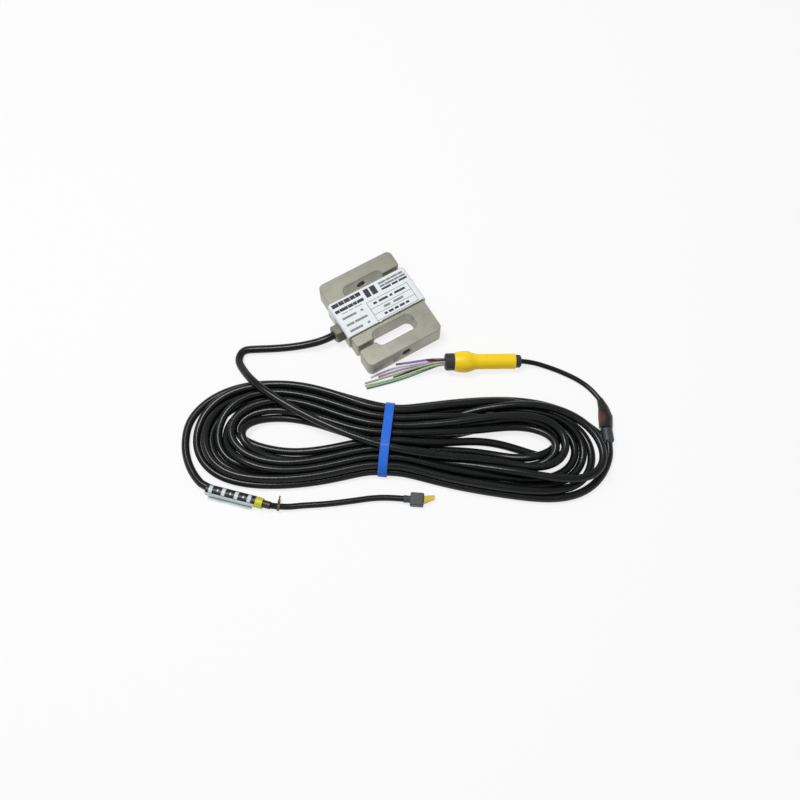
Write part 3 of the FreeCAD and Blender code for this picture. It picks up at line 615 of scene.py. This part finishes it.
shrink = {                          # the sleeve is thin and reddish on the side towards the hank
    "patch": (123.2, 14.6, 4.0), "reach": 6.2, "core": 0.35, "red": (0.115, 0.042, 0.035),
    "finish": {"color": (0.010, 0.010, 0.010), "deep": (0.022, 0.018, 0.016), "rough": 0.26,
               "spread": 0.06, "grain": 900, "marks": 200, "cover": 0.6, "bump": 0.03},
}


def buildShrink():
    material = buildFinish("shrinkSleeve", shrink["finish"])
    tree = material.node_tree
    shader = tree.nodes["Principled BSDF"]
    place = tree.nodes.new("ShaderNodeTexCoord").outputs["Object"]
    away = tree.nodes.new("ShaderNodeVectorMath")
    away.operation = "DISTANCE"
    away.inputs[1].default_value = lay(*shrink["patch"])
    tree.links.new(place, away.inputs[0])
    reach = shrink["reach"] * mm
    near = rangeNode(tree, away.outputs["Value"], reach, reach * shrink["core"])
    tint = shader.inputs["Base Color"].links[0].from_socket
    tree.links.new(mixColors(tree, near, tint, shrink["red"]), shader.inputs["Base Color"])
    return material


materials["shrinkSleeve"] = buildShrink()


carrier = (2.25, 2.40)              # distance from the sleeve's axis where its pale side begins


def buildMarker():                  # black above, pale where the printed carrier shows on its near side
    material = buildFinish("markerSleeve", finishes["markerBlack"])
    tree = material.node_tree
    shader = tree.nodes["Principled BSDF"]
    start = lay(*markerStart)
    way = (lay(*markerEnd) - start).normalized()
    near = way.cross(Vector((0, 0, 1)))
    place = tree.nodes.new("ShaderNodeTexCoord").outputs["Object"]
    shift = tree.nodes.new("ShaderNodeVectorMath")
    shift.operation = "SUBTRACT"
    shift.inputs[1].default_value = start
    tree.links.new(place, shift.inputs[0])
    across = tree.nodes.new("ShaderNodeVectorMath")
    across.operation = "DOT_PRODUCT"
    across.inputs[1].default_value = near
    tree.links.new(shift.outputs["Vector"], across.inputs[0])
    mask = rangeNode(tree, across.outputs["Value"], carrier[0] * mm, carrier[1] * mm)
    tint = shader.inputs["Base Color"].links[0].from_socket
    tree.links.new(mixColors(tree, mask, tint, finishes["flapPale"]["color"]), shader.inputs["Base Color"])
    return material


materials["markerSleeve"] = buildMarker()


nodeFinishes = {
    "s_beam_body": "nickelPlate", "gauge_cover": "coverSteel", "back_plate": "coverSteel",
    "label": "labelFilm",
    "terminal_board": "boardGreen", "trim_resistors": "resistorBody", "bridge_wires": "bridgeRed",
    "gland_body": "glandMetal", "gland_seal": "sealRubber", "entry_cable": "cableJacket",
    "splice_boot": "bootSlate", "shrink_sleeve": "shrinkSleeve", "breakout_collar_in": "collarBlack",
    "breakout_sleeve": "breakoutYellow", "breakout_collar_out": "collarBlack",
    "marker_sleeve": "markerSleeve", "marker_flap": "flapPale", "tape_ring": "tapeYellow",
    "jacket_end": "jacketRed", "mini_tie": "tieBrown",
    "connector_body": "connectorSlate", "connector_tip": "tipYellow",
    "strain_gauge_1": "gaugeAmber", "strain_gauge_2": "gaugeAmber", "strain_gauge_3": "gaugeAmber",
    "strain_gauge_4": "gaugeAmber",
}
for nodeName, finishName in nodeFinishes.items():
    nodes[nodeName].data.materials.clear()
    nodes[nodeName].data.materials.append(materials[finishName])


# pieces
def meshPiece(name, vertices, faces, material, smooth=True):
    data = bpy.data.meshes.new(name)
    data.from_pydata([tuple(v) for v in vertices], [], faces)
    data.materials.append(material)
    for face in data.polygons:
        face.use_smooth = smooth
    data.update()
    piece = bpy.data.objects.new(name, data)
    bpy.context.collection.objects.link(piece)
    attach(piece, "root")
    return piece


def addCord(name, route, diameter, finishName, replaced, rings=5, across=5):
    piece = cordCurve(name, route, diameter, rings, across)
    piece.data.materials.append(materials[finishName])
    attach(piece, "root")
    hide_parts(*replaced)
    length = routeLength(route)
    print("%s: length %.1f mm" % (name, length / mm))
    return piece


cables = {"main": hank["cable"], "tail": 3.6, "pigtail": 3.0}      # diameters


addCord("mainCable", layAll(mainPoints), cables["main"] * mm, "cableJacket",
        ("cable_lead", "cable_hank"), 4, 4)
addCord("returnLead", layAll(returnPoints) + [lay(*leadEnd)], cables["main"] * mm, "cableJacket",
        ("return_lead", "marked_length"),
        4, 4)
addCord("tailCable", layAll(tailRoute), cables["tail"] * mm, "cableJacket",
        ("tail_cable",), 8, 5)
addCord("pigtailCable", layAll(pigtailRoute), cables["pigtail"] * mm, "cableJacket",
        ("pigtail_cable",),
        8, 5)
print("cables laid")


# wires out of the breakout
wireDiameter = 1.3
wireRoutes = {                      # from the collar's face to the cut end, along and across the hank
    "brown": [(34.8, 50.7, 8.8), (31.8, 50.6, 9.0), (27.9, 51.0, 7.9), (24.0, 51.8, 6.4)],
    "violet": [(34.7, 51.6, 7.8), (31.7, 51.5, 8.0), (26.5, 52.3, 6.1), (19.8, 52.8, 3.0),
               (12.5, 52.6, 0.7), (5.5, 51.5, 0.7)],
    "lilac": [(34.6, 51.3, 6.4), (31.6, 51.2, 6.6), (26.1, 51.1, 5.1), (18.6, 50.9, 3.2),
              (9.7, 50.0, 1.6), (0.0, 47.5, 0.7), (-9.6, 42.7, 0.7)],
    "grey": [(34.7, 50.0, 7.4), (31.7, 49.9, 7.6), (26.2, 49.8, 6.2), (18.7, 49.3, 4.1),
             (10.3, 48.1, 2.0), (2.0, 45.9, 0.7), (-5.0, 43.2, 0.7)],
    "beige": [(34.8, 49.3, 8.8), (31.8, 49.2, 9.0), (26.8, 48.8, 7.6), (19.9, 48.0, 5.1),
              (10.9, 46.2, 2.6), (0.0, 43.2, 0.7), (-12.9, 38.9, 0.7)],
    "black": [(34.6, 50.0, 5.8), (31.6, 49.9, 6.0), (26.0, 49.1, 4.4), (18.8, 47.7, 2.3),
              (11.0, 45.6, 0.7), (4.0, 42.8, 0.7)],
    "light_green": [(34.8, 48.4, 7.8), (31.8, 48.3, 8.0), (27.0, 47.6, 6.7), (20.3, 46.2, 4.6),
                    (11.7, 43.8, 2.3), (1.0, 40.7, 0.7), (-12.6, 37.2, 0.7)],
    "green": [(34.7, 48.7, 6.4), (31.7, 48.6, 6.6), (26.7, 47.2, 4.9), (19.7, 45.0, 3.2),
              (10.7, 42.0, 1.5), (0.0, 38.8, 0.7), (-11.8, 35.6, 0.7)],
}


def addWires():
    for name, route in wireRoutes.items():
        addCord("wire_" + name + "_line", layAll(route), wireDiameter * mm, "wire_" + name,
                ("wire_" + name,), 8, 4)


addWires()


# band round the hank's waist
strap = {
    "wall": 0.79, "round": 0.25, "stepAngle": 10.0, "ribs": 7, "ribDepth": 0.06,
}


def waistPath(grow):                # the outline drawn tight round the strands at the tie, across and up
    low, shoulder = lowerRow, upperRow
    centres = [(low[0][0], low[0][1]), (low[-1][0], low[-1][1]), (shoulder[-1][0], shoulder[-1][1]),
               crestSlot, (shoulder[0][0], shoulder[0][1])]
    radius = hank["cable"] / 2 + grow
    path = []
    for i, (v, z) in enumerate(centres):
        before, after = centres[i - 1], centres[(i + 1) % len(centres)]
        first = math.atan2(z - before[1], v - before[0]) - math.pi / 2
        last = math.atan2(after[1] - z, after[0] - v) - math.pi / 2
        while last < first:
            last += 2 * math.pi
        steps = max(1, round(math.degrees(last - first) / strap["stepAngle"]))
        for k in range(steps + 1):
            angle = first + (last - first) * k / steps
            path.append((v + radius * math.cos(angle), z + radius * math.sin(angle)))
    return path


def tieStrap():
    half, wall, edge = hank["strapWidth"] / 2, strap["wall"], strap["round"]
    ribs = strap["ribs"]            # shallow, along the band
    across = [(-half, 0.0), (-half, wall - edge), (-half + edge * 0.3, wall - edge * 0.3),
              (-half + edge, wall)]
    for k in range(1, ribs * 4):
        t = k / (ribs * 4)
        dip = strap["ribDepth"] * (0.5 - 0.5 * math.cos(2 * math.pi * ribs * t))
        across.append((-half + edge + t * (2 * half - 2 * edge), wall - dip))
    across += [(half - edge, wall), (half - edge * 0.3, wall - edge * 0.3), (half, wall - edge),
               (half, 0.0)]
    paths = {grow: waistPath(grow) for grow in sorted({round(g, 4) for u, g in across})}
    count = len(paths[0.0])
    c, s = math.cos(hank["strapSkew"]), math.sin(hank["strapSkew"])
    vertices = []
    for i in range(count):
        for u, grow in across:
            v, z = paths[round(grow, 4)][i]
            vertices.append(lay(u * c - v * s, u * s + v * c, z))
    wide = len(across)
    faces = []
    for i in range(count):
        n = (i + 1) % count
        for k in range(wide):
            m = (k + 1) % wide
            faces.append((i * wide + k, i * wide + m, n * wide + m, n * wide + k))
    piece = meshPiece("tieBand", vertices, faces, materials["strapBlue"])
    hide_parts("tie_strap")
    return piece


tieStrap()


# plain print on the label: bars and a ruled box, no words
label = {
    "top": 14.1, "ink": 0.025, "ruleWidth": 0.35,
    "box": (-5.8, 22.5, -8.35, 5.65), "rules": (0.45, -3.85),
}
# left, right, middle height, tall, finish, pieces that the bar breaks into
labelBars = [
    (-25.3, -5.8, 13.5, 2.7, "labelInk", (4.4, 3.4, 3.9, 3.2, 3.5)),
    (-25.3, -5.8, 9.2, 2.1, "labelInk", (3.0, 5.4, 3.3, 2.4, 4.4)),
    (-3.6, -0.3, 11.5, 6.1, "labelInk", (3.3,)),
    (0.7, 4.4, 11.5, 6.1, "labelInk", (3.7,)),
    (7.0, 24.0, 13.6, 1.4, "labelGrey", (5.1, 3.2, 4.4, 3.4)),
    (7.0, 24.6, 11.4, 1.4, "labelGrey", (3.4, 6.1, 3.0, 4.2)),
    (7.0, 24.6, 9.2, 1.4, "labelInk", (6.4, 4.1, 5.6)),
    (-22.3, -8.3, 6.6, 0.5, "labelGrey", (4.0, 3.0, 5.0)),
    (-23.6, -9.6, 3.2, 1.5, "labelGrey", (9.4, 1.6)),
    (-23.6, -9.4, -1.8, 1.5, "labelGrey", (5.2, 8.4)),
    (-23.6, -10.0, -6.2, 1.5, "labelGrey", (8.6, 1.6)),
    (-2.3, 19.7, 3.2, 1.5, "labelInk", (2.4, 6.2, 1.8, 7.4)),
    (2.2, 15.7, -1.7, 1.5, "labelGrey", (4.4, 6.8)),
    (0.2, 17.2, -6.1, 1.5, "labelInk", (2.0, 3.2, 2.6, 3.4, 2.2)),
]


def printedBars():
    shapes = {"labelInk": [], "labelGrey": []}
    for left, right, middle, tall, finishName, pieces in labelBars:
        gap = (right - left - sum(pieces)) / max(1, len(pieces) - 1) if len(pieces) > 1 else 0.0
        x = left
        for piece in pieces:
            shapes[finishName].append((x, x + piece, middle - tall / 2, middle + tall / 2))
            x += piece + gap
    left, right, low, high = label["box"]
    rule = label["ruleWidth"]
    for y in (low, high) + label["rules"]:
        shapes["labelGrey"].append((left, right, y - rule / 2, y + rule / 2))
    for x in (left, right):
        shapes["labelGrey"].append((x - rule / 2, x + rule / 2, low - rule / 2, high + rule / 2))
    for finishName, boxes in shapes.items():
        vertices, faces = [], []
        for x0, x1, y0, y1 in boxes:
            base = len(vertices)
            for z in (label["top"], label["top"] + label["ink"]):
                vertices += [Vector(p) * mm for p in ((x0, y0, z), (x1, y0, z), (x1, y1, z), (x0, y1, z))]
            faces.append(tuple(base + k for k in (4, 5, 6, 7)))
            for k in range(4):
                n = (k + 1) % 4
                faces.append((base + k, base + n, base + 4 + n, base + 4 + k))
        meshPiece(finishName + "Print", vertices, faces, materials[finishName], smooth=False)


printedBars()


# plain pale bands on the marker sleeve
marker = {
    "radius": 3.28, "bands": (1.8, 9.4, 17.0, 24.6), "bandWidth": 2.1, "arc": (-48, 40),
    "dots": (6.6, 14.2, 21.8), "dotWidth": 0.9, "dotArc": (-12, 12),
}


def markerBands():
    start, end = lay(*markerStart), lay(*markerEnd)
    way = (end - start).normalized()
    up = Vector((0, 0, 1))
    side = up.cross(way).normalized()
    rise = way.cross(side)
    vertices, faces = [], []
    strips = [(b, marker["bandWidth"], marker["arc"]) for b in marker["bands"]]
    strips += [(d, marker["dotWidth"], marker["dotArc"]) for d in marker["dots"]]
    for place, width, (low, high) in strips:
        base = len(vertices)
        steps = 14
        for k in range(steps + 1):
            angle = math.radians(90 + low + (high - low) * k / steps)
            out = (rise * math.sin(angle) + side * math.cos(angle)) * marker["radius"] * mm
            vertices += [start + way * place * mm + out, start + way * (place + width) * mm + out]
        for k in range(steps):
            a = base + 2 * k
            faces.append((a, a + 1, a + 3, a + 2))
    meshPiece("markerBands", vertices, faces, materials["flapPale"])


markerBands()
print("small pieces made")


stage = {
    "radius": 3.0, "wall": 1.4, "white": 0.9, "glow": 0.8,   # glow is how far the floor nears pure white
    "room": 0.38, "lampPower": 7.2, "lampSize": 0.35, "lampPlace": (-0.22, 0.22, 1.0),
    "aim": (0.0, -0.05, 0.0), "sides": 96,
}


def backdropMaterial():
    material = bpy.data.materials.new("whiteFloor")
    material.use_nodes = True
    tree = material.node_tree
    shader = tree.nodes["Principled BSDF"]
    shader.inputs["Base Color"].default_value = (stage["white"], stage["white"], stage["white"], 1)
    shader.inputs["Roughness"].default_value = 0.8
    shader.inputs["Specular IOR Level"].default_value = 0.2
    glow = tree.nodes.new("ShaderNodeEmission")
    mix = tree.nodes.new("ShaderNodeMixShader")
    path = tree.nodes.new("ShaderNodeLightPath")
    seen = path.outputs["Is Camera Ray"]
    for label in ("Is Glossy Ray", "Is Transmission Ray"):
        either = tree.nodes.new("ShaderNodeMath")
        either.operation = "MAXIMUM"
        tree.links.new(seen, either.inputs[0])
        tree.links.new(path.outputs[label], either.inputs[1])
        seen = either.outputs[0]
    scale = tree.nodes.new("ShaderNodeMath")
    scale.operation = "MULTIPLY"
    scale.inputs[1].default_value = stage["glow"]
    tree.links.new(seen, scale.inputs[0])
    tree.links.new(scale.outputs[0], mix.inputs[0])
    tree.links.new(shader.outputs[0], mix.inputs[1])
    tree.links.new(glow.outputs[0], mix.inputs[2])
    tree.links.new(mix.outputs[0], tree.nodes["Material Output"].inputs["Surface"])
    return material


def addStage():
    white = backdropMaterial()
    build = bmesh.new()
    sides = stage["sides"]
    ring = [build.verts.new((stage["radius"] * math.cos(a), stage["radius"] * math.sin(a), -0.0002))
            for a in (2 * math.pi * k / sides for k in range(sides))]
    top = [build.verts.new((v.co.x, v.co.y, stage["wall"])) for v in ring]
    build.faces.new(ring)
    for k in range(sides):
        n = (k + 1) % sides
        build.faces.new((ring[k], top[k], top[n], ring[n]))
    data = bpy.data.meshes.new("floor")
    build.to_mesh(data)
    build.free()
    data.materials.append(white)
    floor = bpy.data.objects.new("floor", data)
    bpy.context.collection.objects.link(floor)
    world = bpy.data.worlds.new("softRoom")
    bpy.context.scene.world = world
    world.use_nodes = True
    world.node_tree.nodes["Background"].inputs["Color"].default_value = (1, 1, 1, 1)
    world.node_tree.nodes["Background"].inputs["Strength"].default_value = stage["room"]
    lamp = bpy.data.lights.new("overhead", "AREA")
    lamp.energy = stage["lampPower"]
    lamp.size = stage["lampSize"]
    overhead = bpy.data.objects.new("overhead", lamp)
    overhead.location = stage["lampPlace"]
    overhead.rotation_euler = (Vector(stage["aim"]) - overhead.location).to_track_quat("-Z", "Y").to_euler()
    bpy.context.collection.objects.link(overhead)


addStage()
bpy.context.scene.view_settings.view_transform = "Standard"
